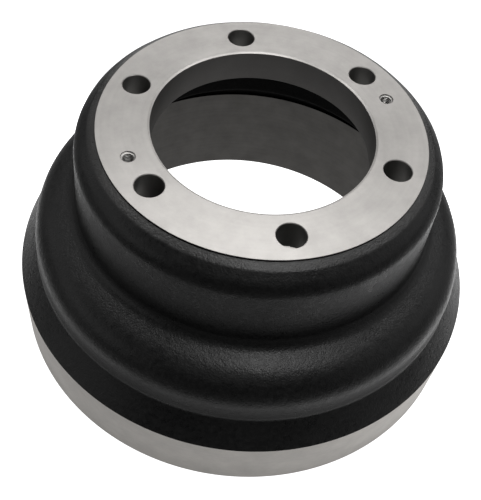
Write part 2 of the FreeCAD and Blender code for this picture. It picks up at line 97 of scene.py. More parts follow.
class DrumSizes(bpy.types.PropertyGroup):
    """Sizes of the drum's section and holes."""

    height: length("Height", "Open end to mounting face", HIGH_CORNER.z - LOW_CORNER.z)
    band_radius: length("Band radius", "Turned band around the open end",
                        min(*HIGH_CORNER[:2], *(-reach for reach in LOW_CORNER[:2])))
    band_width: length("Band width", "Height of the turned band", 0.049)
    pilot_radius: length("Pilot radius", "Bore that centres the drum",
                         mount_size("pilot_bore", "r_mm"))
    seat_height: length("Hub seat height", "Underside of the web", MOUNTS["hub_seat"]["pos_m"][2])
    bolt_ring: length("Bolt circle radius", "Centre line of the bolt holes",
                      mount_size("bolt_holes", "pcd_mm") / 2)
    bolt_radius: length("Bolt hole radius", "Plain through hole",
                        mount_size("bolt_holes", "hole_r_mm"))
    bolt_count: IntProperty(name="Bolt holes", description="Holes around the mounting face",
                            default=MOUNTS["bolt_holes"]["dims"]["count"])
    first_bolt: angle("First bolt hole", "Place of the first bolt hole", 30.0)
    puller_radius: length("Tapping radius", "Bore of a tapped hole",
                          mount_size("puller_hole_right", "r_mm"))
    thread_pitch: length("Thread pitch", "Rise of the puller thread", 0.0015)
    thread_depth: length("Thread depth", "Tapping bore to the root of the thread", 0.0009)
    land_radius: length("Land radius", "Edge of the mounting face", 0.1225)
    land_rise: length("Land rise", "Mounting face above the rough casting", 0.0018)
    apron_fall: angle("Apron fall", "Slope of the casting just outside the mounting face", 22.0)
    brow_round: length("Brow", "Round from that slope into the steeper one outside it", 0.005)
    crown_slope_fall: angle("Crown slope", "That steeper slope", 44.0)
    crown_radius: length("Crown radius", "Top of the crown's wall", 0.139)
    crown_shoulder: length("Crown shoulder", "Round from that slope into the crown's wall", 0.0198)
    crown_wall_drop: length("Crown wall drop", "Mounting face to the top of the crown's wall",
                            0.022)
    crown_draft: angle("Crown draft", "Taper of the crown's wall", 2.0)
    crown_foot: length("Crown foot", "Hollow at the foot of the crown's wall", 0.011)
    barrel_radius: length("Barrel radius", "Straight wall above the sloping shoulder", 0.175)
    shoulder_fall: angle("Shoulder fall", "Slope of the straight run outside the crown's foot",
                         21.5)
    barrel_shoulder: length("Barrel shoulder", "Round from that run into the barrel", 0.0315)
    barrel_top: length("Barrel top", "Height at which that round starts", 0.084)
    barrel_height: length("Barrel height", "Straight part of the barrel", 0.0127)
    slope_foot: length("Slope foot", "Hollow from the barrel into the slope down to the band",
                       0.005)
    friction_radius: length("Friction radius", "Surface the shoes rub",
                            mount_size("friction_surface", "r_mm"))
    friction_width: length("Friction width", "Open end to the top of that surface", 0.090)
    relief_depth: length("Relief depth", "Rough wall's step out above it", 0.002)
    relief_height: length("Relief height", "Straight part of the rough wall", 0.0013)
    ledge_corner: length("Ledge corner", "Hollow from the rough wall into the ledge", 0.008)
    ledge_rise: angle("Ledge rise", "Slope of the ledge's underside", 40.0)
    ledge_lip: length("Ledge lip", "Round from the ledge up into the cavity", 0.004)
    lip_radius: length("Lip radius", "Cavity at the ledge's lip", 0.123)
    cavity_draft: angle("Cavity draft", "Taper of the cavity", 1.0)
    seat_round: length("Seat round", "Hollow from the cavity into the hub seat", 0.008)
    fine_break: length("Fine edge break", "Chamfer at the land's edge", 0.0002)
    bolt_break: length("Bolt hole edge break", "Chamfer at the bolt holes' mouths", 0.0005)
    edge_break: length("Edge break", "Chamfer at the open end and under the bore", 0.001)
    bevel_reach: length("Bevel reach", "Lead-in bevel across the pilot bore's mouth", 0.0015)
    bevel_depth: length("Bevel depth", "The same bevel down the bore", 0.0008)
    puller_break: length("Puller edge break", "Chamfer at the tapped holes' mouths", 0.00125)
    # Reach of the lighter paint below the land's wall: partly a dusting from the turning, partly a
    # painted highlight.
    dust_and_highlight_reach: length("Dust reach", "Depth below the land's wall at which dust fades out",
                       0.0035)
    skin_swell: length("Cast skin swell", "Unevenness of the rough casting", 0.00018)
    burr_length: length("Burr length", "Sliver of metal at the front bolt hole", 0.0088)
    burr_reach: length("Burr reach", "How far that sliver stands into the hole", 0.0018)


class DrumFinish(bpy.types.PropertyGroup):
    """Colours of the drum's finishes."""

    paint: colour("Paint", "Black paint on the cast skin", (0.0060, 0.0061, 0.0063))
    worn_paint: colour("Thin paint", "Where the paint is thin over the grain",
                       (0.0110, 0.0110, 0.0110))
    # Lighter paint beside the mounting face: partly a dusting from the turning, partly a painted
    # highlight on the apron.
    dusty_highlit_paint: colour("Dusty paint", "Where dust of the turning lies beside the mounting face",
                        (0.0380, 0.0370, 0.0360))
    bright_iron: colour("Bright iron", "Turned mounting face", (0.395, 0.381, 0.366))
    band_iron: colour("Band iron", "Turned band around the open end", (0.760, 0.734, 0.702))
    bored_iron: colour("Bored iron", "Pilot bore", (0.170, 0.165, 0.160))
    drilled_iron: colour("Drilled iron", "Bolt holes", (0.230, 0.225, 0.215))
    thread_crest: colour("Thread crest", "Bright crests of the tapped holes", (0.500, 0.488, 0.472))
    # Roots of the thread, painted dark as shade in its grooves.
    thread_root_shade: colour("Thread root", "Dark roots of the tapped holes", (0.020, 0.019, 0.018))
    rubbed_iron: colour("Friction iron", "Surface the shoes rub", (0.113, 0.109, 0.104))
    # Near black: the rough casting inside the crown darkened further as painted shade, and painted
    # shade alone on the land's wall.
    raw_iron_and_shade: colour("Raw iron", "Rough casting inside the crown", (0.0040, 0.0039, 0.0038))


class DrumStudio(bpy.types.PropertyGroup):
    """Camera, lights and floor around the drum."""

    camera_place: FloatVectorProperty(
        name="Camera place", description="Where the camera stands", size=3, subtype="TRANSLATION",
        default=(-0.1231, -0.4150, 0.5992))
    camera_heading: angle("Camera heading", "Turn to the right of the +Y direction", 16.05)
    camera_tilt: angle("Camera tilt", "Downward tilt", 52.12)
    camera_roll: angle("Camera roll", "Lean of the frame", 8.50)
    camera_lens: number("Lens", "Focal length in millimetres", 57.58)
    floor_size: length("Floor size", "Side of the square floor", 12.0)
    floor_tone: number("Floor tone", "Paleness of the floor", 0.12)
    floor_glow: number("Floor glow", "Pool of soft light on the floor, as on a light table", 1.6)
    glow_place: FloatVectorProperty(
        name="Glow place", size=2, subtype="TRANSLATION", default=(0.14, 0.30),
        description="Middle of that pool, to the right and back from the camera's heading")
    glow_core: length("Glow core", "Radius inside which that pool is even", 0.20)
    glow_reach: length("Glow reach", "Radius at which that pool ends", 0.80)
    shade_share: number("Shade", "Share of that light which is left under the drum", 0.35)
    shade_start: length("Shade start", "Radius at which the drum's shade starts to fade", 0.19)
    shade_end: length("Shade end", "Radius at which the drum's shade ends", 0.26)
    fringe_share: number("Fringe", "Share of that light which is left away from the drum", 0.13)
    fringe_start: length("Fringe start", "Radius at which the light starts to drop", 0.262)
    fringe_end: length("Fringe end", "Radius at which it is down to that share", 0.305)
    floor_shine: number("Floor shine", "Further glow that only the camera sees", 1.0)
    room_tone: number("Room tone", "Light of the room around", 0.04)


# Section of the drum, as stretches of points (radius, height) from the mounting face outwards,
# round the bell, up the inside and under the web.

AXIS = (0, 0)
FULL_TURN = 2 * math.pi

# Spacing of the section's points along straight stretches, in metres, and along rounds.
LINE_STEP = 0.003
FRICTION_STEP = 0.006
END_STEP = 0.01
ARC_STEP = math.radians(5.0)

# Points round the drum's axis and round each kind of hole, and rows of points down the thread.
RING_STEPS = 288
BOLT_STEPS = 72
PULLER_STEPS = 48
THREAD_ROWS_PER_PITCH = 8


def polar(centre, radius, turn):
    """Point at a distance and an angle from a centre."""
    return (centre[0] + radius * math.cos(turn), centre[1] + radius * math.sin(turn))


def line(start, end, step=LINE_STEP):
    """Evenly spaced points along a straight stretch."""
    pieces = max(1, math.ceil(math.dist(start, end) / step))
    return [(start[0] + (end[0] - start[0]) * i / pieces,
             start[1] + (end[1] - start[1]) * i / pieces) for i in range(pieces + 1)]


def arc(centre, radius, start_turn, end_turn):
    """Evenly spaced points along a round stretch."""
    pieces = max(2, math.ceil(abs(end_turn - start_turn) / ARC_STEP))
    return [polar(centre, radius, start_turn + (end_turn - start_turn) * i / pieces)
            for i in range(pieces + 1)]


def touching_centre(first, first_turn, second, second_turn, radius):
    """Centre of a round that touches two lines, each given by a point and the turn square to it.

    The round lies on the side that the turns point to, or on the other with a radius below zero.
    """
    first_normal = polar((0, 0), 1, first_turn)
    second_normal = polar((0, 0), 1, second_turn)
    first_reach = first[0] * first_normal[0] + first[1] * first_normal[1] + radius
    second_reach = second[0] * second_normal[0] + second[1] * second_normal[1] + radius
    spread = math.sin(second_turn - first_turn)
    return ((first_reach * second_normal[1] - second_reach * first_normal[1]) / spread,
            (second_reach * first_normal[0] - first_reach * second_normal[0]) / spread)


def outside_stretches(sizes):
    """Land's edge, painted bell and turned band, down to the open end."""
    draft = sizes.crown_draft
    slope_turn = math.pi / 2 - sizes.crown_slope_fall
    wall_top = (sizes.crown_radius, sizes.height - sizes.crown_wall_drop)
    crown_centre = polar(wall_top, sizes.crown_shoulder, math.pi + draft)
    crown_slope_foot = polar(crown_centre, sizes.crown_shoulder, slope_turn)

    apron_turn = math.pi / 2 - sizes.apron_fall
    apron_top = (sizes.land_radius, sizes.height - sizes.land_rise)
    brow_centre = touching_centre(apron_top, apron_turn, crown_slope_foot, slope_turn,
                                  -sizes.brow_round)

    shoulder_centre = (sizes.barrel_radius - sizes.barrel_shoulder, sizes.barrel_top)
    shoulder_turn = math.pi / 2 - sizes.shoulder_fall
    run_foot = polar(shoulder_centre, sizes.barrel_shoulder, shoulder_turn)
    foot_centre = touching_centre(wall_top, draft, run_foot, shoulder_turn, sizes.crown_foot)
    run_top = polar(foot_centre, sizes.crown_foot, math.pi + shoulder_turn)
    wall_foot = polar(foot_centre, sizes.crown_foot, math.pi + draft)

    barrel_foot = sizes.barrel_top - sizes.barrel_height
    slope_centre = (sizes.barrel_radius + sizes.slope_foot, barrel_foot)
    band_edge = (sizes.band_radius, sizes.band_width)
    to_edge = (band_edge[0] - slope_centre[0], band_edge[1] - slope_centre[1])
    touch_turn = (FULL_TURN + math.atan2(to_edge[1], to_edge[0])
                  - math.acos(sizes.slope_foot / math.hypot(*to_edge)))
    slope_top = polar(slope_centre, sizes.slope_foot, touch_turn)

    land_edge = (sizes.land_radius - sizes.fine_break, sizes.height)
    land_top = (sizes.land_radius, sizes.height - sizes.fine_break)
    band_foot = (sizes.band_radius, sizes.edge_break)
    bell = line(apron_top, polar(brow_centre, sizes.brow_round, apron_turn))
    bell += arc(brow_centre, sizes.brow_round, apron_turn, slope_turn)[1:]
    bell += line(polar(brow_centre, sizes.brow_round, slope_turn), crown_slope_foot)[1:]
    bell += arc(crown_centre, sizes.crown_shoulder, slope_turn, draft)[1:]
    bell += line(wall_top, wall_foot)[1:]
    bell += arc(foot_centre, sizes.crown_foot, math.pi + draft, math.pi + shoulder_turn)[1:]
    bell += line(run_top, run_foot)[1:]
    bell += arc(shoulder_centre, sizes.barrel_shoulder, shoulder_turn, 0)[1:]
    bell += line((sizes.barrel_radius, sizes.barrel_top), (sizes.barrel_radius, barrel_foot))[1:]
    bell += arc(slope_centre, sizes.slope_foot, math.pi, touch_turn)[1:]
    bell += line(slope_top, band_edge)[1:]
    return [
        ("face", line(land_edge, land_top)),
        # The land's wall takes the near-black rough finish: a line of painted shade along the
        # face's edge.
        ("rough", line(land_top, apron_top)),
        ("bell", bell),
        ("band", line(band_edge, band_foot)),
        ("band", line(band_foot, (sizes.band_radius - sizes.edge_break, 0))),
    ]


def inside_stretches(sizes):
    """Open end, friction surface, ledge and cavity, up to the hub seat."""
    friction = sizes.friction_radius
    relief = friction + sizes.relief_depth
    relief_top = sizes.friction_width + sizes.relief_height
    rise = sizes.ledge_rise
    corner_centre = (relief - sizes.ledge_corner, relief_top)
    ledge_start = polar(corner_centre, sizes.ledge_corner, math.pi / 2 - rise)

    draft = sizes.cavity_draft
    lip = sizes.ledge_lip
    lip_centre_radius = sizes.lip_radius + lip * math.cos(draft)
    ledge_end_radius = lip_centre_radius - lip * math.sin(rise)
    ledge_end = (ledge_end_radius,
                 ledge_start[1] + (ledge_start[0] - ledge_end_radius) * math.tan(rise))
    lip_centre = (lip_centre_radius, ledge_end[1] + lip * math.cos(rise))
    cavity_foot = polar(lip_centre, lip, math.pi + draft)

    seat_centre_height = sizes.seat_height - sizes.seat_round
    climb = seat_centre_height - cavity_foot[1]
    seat_centre = (cavity_foot[0] - climb * math.tan(draft) - sizes.seat_round / math.cos(draft),
                   seat_centre_height)

    band_corner = (sizes.band_radius - sizes.edge_break, 0)
    mouth_corner = (friction + sizes.edge_break, 0)
    mouth = (friction, sizes.edge_break)
    friction_top = (friction, sizes.friction_width)
    rough = line((relief, sizes.friction_width), (relief, relief_top))
    rough += arc(corner_centre, sizes.ledge_corner, 0, math.pi / 2 - rise)[1:]
    rough += line(ledge_start, ledge_end)[1:]
    rough += arc(lip_centre, lip, 3 * math.pi / 2 - rise, math.pi + draft)[1:]
    rough += line(cavity_foot, polar(seat_centre, sizes.seat_round, draft))[1:]
    rough += arc(seat_centre, sizes.seat_round, draft, math.pi / 2)[1:]
    return [
        ("end", line(band_corner, mouth_corner, END_STEP)),
        ("friction", line(mouth_corner, mouth)),
        ("friction", line(mouth, friction_top, FRICTION_STEP)),
        ("rough", line(friction_top, (relief, sizes.friction_width))),
        ("rough", rough),
    ]


def bore_stretches(sizes):
    """Pilot bore from the hub seat up to the mounting face, with its broken edges."""
    bore = sizes.pilot_radius
    low = (bore, sizes.seat_height + sizes.edge_break)
    high = (bore, sizes.height - sizes.bevel_depth)
    return [
        ("bore", line((bore + sizes.edge_break, sizes.seat_height), low)),
        ("bore", line(low, high)),
        ("face", line(high, (bore + sizes.bevel_reach, sizes.height))),
    ]


# Finish of each stretch, in the order of the mesh's material slots.
FINISH_ORDER = (
    "face", "bell", "band", "end", "friction", "rough", "seat", "bore", "drill", "thread")


def ring_of_points(shape, centre, radius, height, steps):
    """Vertices of a level circle, round its own centre."""
    return [shape.verts.new((*polar(centre, radius, FULL_TURN * i / steps), height))
            for i in range(steps)]


def skin_between(shape, ring, following, finish):
    """Band of quads between two rings of the same count."""
    steps = len(ring)
    for i in range(steps):
        after = (i + 1) % steps
        face = shape.faces.new((ring[i], ring[after], following[after], following[i]))
        face.material_index = FINISH_ORDER.index(finish)
        face.smooth = True


def turn_stretches(shape, stretches):
    """Skin of revolution over a chain of stretches, with its first and last rings."""
    first_point = stretches[0][1][0]
    start = ring = ring_of_points(shape, AXIS, *first_point, RING_STEPS)
    for finish, points in stretches:
        for point in points[1:]:
            following = ring_of_points(shape, AXIS, *point, RING_STEPS)
            skin_between(shape, ring, following, finish)
            ring = following
    return start, ring


def ring_edges(shape, ring):
    """Edges round a ring."""
    return [shape.edges.get((ring[i - 1], ring[i])) or shape.edges.new((ring[i - 1], ring[i]))
            for i in range(len(ring))]


def fill_level_face(shape, rings, finish):
    """Flat turned face bounded by rings: the first is its edge and the others are holes in it."""
    edges = []
    for ring in rings:
        edges += ring_edges(shape, ring)
    filled = bmesh.ops.triangle_fill(shape, use_beauty=True, edges=edges)
    for item in filled["geom"]:
        if isinstance(item, bmesh.types.BMFace):
            item.material_index = FINISH_ORDER.index(finish)
            item.smooth = True


def drill_bolt_hole(shape, sizes, centre):
    """Plain through hole: its rings on the mounting face and on the hub seat."""
    radius = sizes.bolt_radius
    mouth = ring_of_points(shape, centre, radius + sizes.bolt_break, sizes.height, BOLT_STEPS)
    neck = ring_of_points(shape, centre, radius, sizes.height - sizes.bolt_break, BOLT_STEPS)
    foot = ring_of_points(shape, centre, radius, sizes.seat_height, BOLT_STEPS)
    skin_between(shape, mouth, neck, "face")
    skin_between(shape, neck, foot, "drill")
    return mouth, foot


def thread_shape(phase):
    """Depth of the thread at a phase of its pitch, from 0 at the crest to 1 at the root."""
    crest_share = 0.12
    flank_share = 0.80
    from_crest = abs((phase % 1.0) * 2 - 1)
    return min(1.0, max(0.0, (from_crest - crest_share) / flank_share))


# Rings of a tapped hole's stepped countersink, as shares of its edge break outwards and downwards:
# the foot of the steep wall, the foot of the flat ring, and the top of the thread.
COUNTERSINK_RINGS = ((0.90, 0.58), (0.45, 0.88), (0.0, 1.0))


def tap_puller_hole(shape, sizes, centre, ring_finish):
    """Stepped countersink and cut thread: its rings on the mounting face and on the hub seat."""
    bore = sizes.puller_radius
    mouth = ring_of_points(shape, centre, bore + sizes.puller_break, sizes.height, PULLER_STEPS)
    thread_top = sizes.height - sizes.puller_break
    ring = mouth
    for (reach, drop), finish in zip(COUNTERSINK_RINGS, ("thread", ring_finish, "thread")):
        following = ring_of_points(shape, centre, bore + sizes.puller_break * reach,
                                   sizes.height - sizes.puller_break * drop, PULLER_STEPS)
        skin_between(shape, ring, following, finish)
        ring = following
    depth = thread_top - sizes.seat_height
    rows = round(depth / sizes.thread_pitch * THREAD_ROWS_PER_PITCH)
    runout = sizes.thread_pitch / 2
    for row in range(1, rows + 1):
        down = depth * row / rows
        cut_share = min(1.0, down / runout, (depth - down) / runout)
        following = []
        for i in range(PULLER_STEPS):
            cut = thread_shape(down / sizes.thread_pitch + i / PULLER_STEPS) * sizes.thread_depth
            place = polar(centre, bore + cut * cut_share, FULL_TURN * i / PULLER_STEPS)
            following.append(shape.verts.new((*place, thread_top - down)))
        skin_between(shape, ring, following, "thread")
        ring = following
    return mouth, ring


def roughen_cast_skin(shape, swell):
    """Slight unevenness of the sand-cast surfaces, apart from their edges with turned ones."""
    broad_scale = 28.0
    fine_scale = 130.0
    fine_share = 0.35
    cast = {FINISH_ORDER.index("bell"), FINISH_ORDER.index("rough")}
    for vertex in shape.verts:
        if any(face.material_index not in cast for face in vertex.link_faces):
            continue
        place = vertex.co.copy()
        depth = noise.noise(place * broad_scale) + fine_share * noise.noise(place * fine_scale)
        vertex.co += vertex.normal * depth * swell


# Faces that meet at more than this keep a crisp edge.
SHARP_ANGLE = math.radians(20.0)


def build_piece(name, shape, materials):
    """Object from a finished mesh, riding on the drum's body."""
    mesh = bpy.data.meshes.new(name)
    bmesh.ops.recalc_face_normals(shape, faces=shape.faces)
    shape.to_mesh(mesh)
    shape.free()
    mesh.set_sharp_from_angle(angle=SHARP_ANGLE)
    for material in materials:
        mesh.materials.append(material)
    piece = bpy.data.objects.new(name, mesh)
    bpy.context.scene.collection.objects.link(piece)
    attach(piece, BODY)
    return piece


# Sockets of the Mix node that hold colours, and the range that a noise texture mostly keeps to.
MIX_FIRST = 6
MIX_SECOND = 7
MIX_RESULT = 2
NOISE_LOW = 0.3
NOISE_HIGH = 0.7


class NodeBoard:
    """Node tree of one finish, with short ways to add and join its nodes."""

    def __init__(self, name):
        self.material = bpy.data.materials.new(name)
        self.material.use_nodes = True
        self.tree = self.material.node_tree
        self.shader = self.tree.nodes["Principled BSDF"]
        self.place = self.add("ShaderNodeTexCoord").outputs["Object"]

    def add(self, kind, **settings):
        """New node with its settings."""
        node = self.tree.nodes.new(kind)
        for key, setting in settings.items():
            setattr(node, key, setting)
        return node

    def join(self, source, target):
        """Link from an output to an input."""
        self.tree.links.new(source, target)

    def math(self, operation, first, second):
        """Result of one operation on two numbers or sockets."""
        node = self.add("ShaderNodeMath", operation=operation)
        for value, socket in zip((first, second), node.inputs):
            if isinstance(value, (int, float)):
                socket.default_value = value
            else:
                self.join(value, socket)
        return node.outputs[0]

    def noise(self, place, scale, detail, roughness=0.5):
        """Cloudy texture over a place."""
        node = self.add("ShaderNodeTexNoise")
        node.inputs["Scale"].default_value = scale
        node.inputs["Detail"].default_value = detail
        node.inputs["Roughness"].default_value = roughness
        self.join(place, node.inputs["Vector"])
        return node.outputs["Fac"]

    def between(self, factor, low, high, start=NOISE_LOW, end=NOISE_HIGH):
        """Number that goes from low to high as a factor goes from start to end."""
        node = self.add("ShaderNodeMapRange")
        node.inputs["From Min"].default_value = start
        node.inputs["From Max"].default_value = end
        node.inputs["To Min"].default_value = low
        node.inputs["To Max"].default_value = high
        self.join(factor, node.inputs["Value"])
        return node.outputs["Result"]

    def blend_colours(self, factor, first, second):
        """Colour between two others."""
        node = self.add("ShaderNodeMix", data_type="RGBA")
        node.inputs[MIX_FIRST].default_value = (*first, 1)
        node.inputs[MIX_SECOND].default_value = (*second, 1)
        self.join(factor, node.inputs["Factor"])
        return node.outputs[MIX_RESULT]

    def relief(self, height, depth, strength, under=None):
        """Bump of a depth in metres, laid over another one where it is given."""
        node = self.add("ShaderNodeBump")
        node.inputs["Distance"].default_value = depth
        node.inputs["Strength"].default_value = strength
        self.join(height, node.inputs["Height"])
        if under:
            self.join(under, node.inputs["Normal"])
        return node.outputs["Normal"]

    def turned_place(self, along_axis):
        """Place that hardly changes round the axis, so textures become turning marks."""
        parts = self.add("ShaderNodeSeparateXYZ")
        self.join(self.place, parts.inputs[0])
        x, y, z = parts.outputs
        radius = self.math("SQRT", self.math("ADD", self.math("MULTIPLY", x, x),
                                             self.math("MULTIPLY", y, y)), 0)
        reach = z if along_axis else radius
        joined = self.add("ShaderNodeCombineXYZ")
        self.join(self.math("DIVIDE", x, radius), joined.inputs[0])
        self.join(self.math("DIVIDE", y, radius), joined.inputs[1])
        self.join(reach, joined.inputs[2])
        return joined.outputs[0]

    def stretched(self, place, around, across):
        """Place scaled apart round the axis and across the turning marks."""
        node = self.add("ShaderNodeVectorMath", operation="MULTIPLY")
        self.join(place, node.inputs[0])
        node.inputs[1].default_value = (around, around, across)
        return node.outputs[0]


def lighter(tone, factor):
    """Colour made lighter or darker."""
    return tuple(min(1.0, channel * factor) for channel in tone)


def painted_cast_skin(finish, sizes):
    """Black paint over sand-cast iron: grain, soft pebbling, uneven gloss, and paint lighter by the
    face, partly a dusting from the turning and partly a painted highlight.
    """
    board = NodeBoard("black_painted_cast_skin")
    grain = board.noise(board.place, scale=720.0, detail=2.0, roughness=0.6)
    pebble = board.noise(board.place, scale=300.0, detail=2.0)
    swell = board.noise(board.place, scale=24.0, detail=3.0)
    coat = board.blend_colours(board.between(pebble, 0, 1), finish.paint, finish.worn_paint)
    height = board.add("ShaderNodeSeparateXYZ")
    board.join(board.place, height.inputs[0])
    # Paint made lighter towards the mounting face, mottled by noise: partly a dusting from the
    # turning, partly a painted highlight on the apron.
    apron_top = sizes.height - sizes.land_rise
    near_face = board.between(height.outputs["Z"], 0, 1, apron_top - sizes.dust_and_highlight_reach, apron_top)
    dust_and_highlight = board.math("MULTIPLY", near_face, board.between(swell, low=0.6, high=1.0))
    dusted_highlit_coat = board.blend_colours(dust_and_highlight, finish.paint, finish.dusty_highlit_paint)
    board.join(coat, dusted_highlit_coat.node.inputs[MIX_FIRST])
    board.join(dusted_highlit_coat, board.shader.inputs["Base Color"])
    gloss = board.math("ADD", board.between(swell, low=0.27, high=0.35),
                       board.between(pebble, low=-0.04, high=0.08))
    board.join(gloss, board.shader.inputs["Roughness"])
    fine = board.relief(grain, depth=0.0003, strength=0.8)
    board.join(board.relief(pebble, depth=0.0005, strength=0.42, under=fine),
               board.shader.inputs["Normal"])
    return board.material


def turned_iron(name, tone, along_axis, roughness, marks_depth, unevenness=0.09, marks_share=0.25):
    """Iron turned on a lathe: fine marks round the axis, slight stains and uneven gloss."""
    gloss_spread = 0.03
    board = NodeBoard(name)
    turned = board.turned_place(along_axis)
    marks = board.noise(board.stretched(turned, around=6.0, across=2600.0), scale=1.0, detail=2.0)
    broad_marks = board.noise(board.stretched(turned, around=1.2, across=420.0),
                              scale=1.0, detail=3.0)
    stain = board.noise(board.place, scale=55.0, detail=5.0, roughness=0.65)
    speckle = board.noise(board.place, scale=900.0, detail=2.0)
    shade = board.math("ADD", board.math("MULTIPLY", broad_marks, marks_share),
                       board.math("MULTIPLY", stain, 1 - marks_share))
    base = board.blend_colours(board.between(shade, 0, 1), lighter(tone, 1 - unevenness),
                               lighter(tone, 1 + unevenness))
    board.join(base, board.shader.inputs["Base Color"])
    board.shader.inputs["Metallic"].default_value = 1.0
    if not along_axis:
        board.shader.inputs["Anisotropic"].default_value = 0.5
        board.shader.inputs["Anisotropic Rotation"].default_value = 0.25
    gloss = board.math("ADD", board.between(broad_marks, roughness - gloss_spread,
                                            roughness + gloss_spread),
                       board.between(speckle, low=-0.02, high=0.03))
    board.join(gloss, board.shader.inputs["Roughness"])
    board.join(board.relief(marks, depth=marks_depth, strength=0.35),
               board.shader.inputs["Normal"])
    return board.material


def tapped_iron(finish, sizes):
    """Thread of the puller holes: bright crests and roots painted dark as shade, by the thread's
    depth; the countersink's steep wall takes the same painted shade.
    """
    crest_end = 0.15
    root_start = 0.70
    board = NodeBoard("tapped_iron")
    centre = MOUNTS["puller_hole_right"]["pos_m"]
    parts = board.add("ShaderNodeSeparateXYZ")
    board.join(board.place, parts.inputs[0])
    x, y, _ = parts.outputs
    reaches = []
    for side in (1, -1):
        across = board.math("SUBTRACT", x, side * centre[0])
        along = board.math("SUBTRACT", y, side * centre[1])
        reaches.append(board.math("SQRT", board.math("ADD", board.math("MULTIPLY", across, across),
                                                     board.math("MULTIPLY", along, along)), 0))
    reach = board.math("MINIMUM", *reaches)
    # Darker away from the hole's axis: painted shade in the thread's roots and on the countersink's
    # steep wall.
    root = board.between(reach, 0, 1, sizes.puller_radius + crest_end * sizes.thread_depth,
                         sizes.puller_radius + root_start * sizes.thread_depth)
    board.join(board.blend_colours(root, finish.thread_crest, finish.thread_root_shade),
               board.shader.inputs["Base Color"])
    board.join(board.between(root, low=0.32, high=0.6, start=0, end=1),
               board.shader.inputs["Roughness"])
    board.shader.inputs["Metallic"].default_value = 1.0
    grain = board.noise(board.place, scale=2000.0, detail=2.0)
    board.join(board.relief(grain, depth=0.00005, strength=0.4), board.shader.inputs["Normal"])
    return board.material


def raw_cast_iron(finish):
    """Unpainted rough casting inside the crown, near black: partly dark scale, partly painted
    shade; on the land's wall it is painted shade alone.
    """
    board = NodeBoard("raw_cast_iron")
    grain = board.noise(board.place, scale=800.0, detail=4.0, roughness=0.65)
    patch = board.noise(board.place, scale=60.0, detail=4.0)
    board.join(board.blend_colours(board.between(patch, 0, 1),
                                   lighter(finish.raw_iron_and_shade, factor=0.7),
                                   lighter(finish.raw_iron_and_shade, factor=1.5)),
               board.shader.inputs["Base Color"])
    board.join(board.between(grain, low=0.7, high=0.95), board.shader.inputs["Roughness"])
    board.shader.inputs["Specular IOR Level"].default_value = 0.12
    board.join(board.relief(grain, depth=0.0005, strength=0.6), board.shader.inputs["Normal"])
    return board.material


def drum_materials(finish, sizes):
    """Materials of the drum, in the order of its finishes."""
    face = turned_iron("turned_mounting_face", finish.bright_iron, along_axis=False,
                       roughness=0.40, marks_depth=0.00004, unevenness=0.12)
    paint = painted_cast_skin(finish, sizes)
    band = turned_iron("turned_rim_band", finish.band_iron, along_axis=True,
                       roughness=0.60, marks_depth=0.00006)
    friction = turned_iron("turned_friction_surface", finish.rubbed_iron, along_axis=True,
                           roughness=0.46, marks_depth=0.00008, unevenness=0.20, marks_share=0.35)
    bored = turned_iron("bored_iron", finish.bored_iron, along_axis=True,
                        roughness=0.40, marks_depth=0.00005)
    drilled = turned_iron("drilled_iron", finish.drilled_iron, along_axis=True,
                          roughness=0.50, marks_depth=0.00005)
    tapped = tapped_iron(finish, sizes)
    raw_and_shade = raw_cast_iron(finish)
    by_finish = {
        "face": face, "bell": paint, "band": band, "end": band, "friction": friction,
        "rough": raw_and_shade, "seat": face, "bore": bored, "drill": drilled, "thread": tapped,
    }
    return [by_finish[finish_name] for finish_name in FINISH_ORDER]


class DRUM_OT_cast_drum(bpy.types.Operator):
    """Build the drum: cast bell, turned faces, pilot bore, bolt holes and tapped holes"""

    bl_idname = "drum.cast_drum"
    bl_label = "Brake Drum"

    def execute(self, context):
        sizes = context.scene.drum_sizes
        shape = bmesh.new()
        stretches = outside_stretches(sizes) + inside_stretches(sizes)
        face_edge, seat_edge = turn_stretches(shape, stretches)
        bore_foot, bore_mouth = turn_stretches(shape, bore_stretches(sizes))
        mouths = []
        feet = []
        for i in range(sizes.bolt_count):
            turn = sizes.first_bolt + FULL_TURN * i / sizes.bolt_count
            mouth, foot = drill_bolt_hole(shape, sizes, polar(AXIS, sizes.bolt_ring, turn))
            mouths.append(mouth)
            feet.append(foot)
        # The ring above the thread takes the darker drilled iron in the right hole and the face's
        # iron in the left one: painted shade on the right hole's ring.
        for name, ring_finish in (("puller_hole_right", "drill"), ("puller_hole_left", "seat")):
            mouth, foot = tap_puller_hole(shape, sizes, MOUNTS[name]["pos_m"][:2], ring_finish)
            mouths.append(mouth)
            feet.append(foot)
        fill_level_face(shape, [face_edge, bore_mouth, *mouths], "face")
        fill_level_face(shape, [seat_edge, bore_foot, *feet], "seat")
        bmesh.ops.recalc_face_normals(shape, faces=shape.faces)
        shape.normal_update()
        roughen_cast_skin(shape, sizes.skin_swell)
        piece = build_piece("drum_casting", shape, drum_materials(context.scene.drum_finish, sizes))
        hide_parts(NODE)
        return {"FINISHED"}


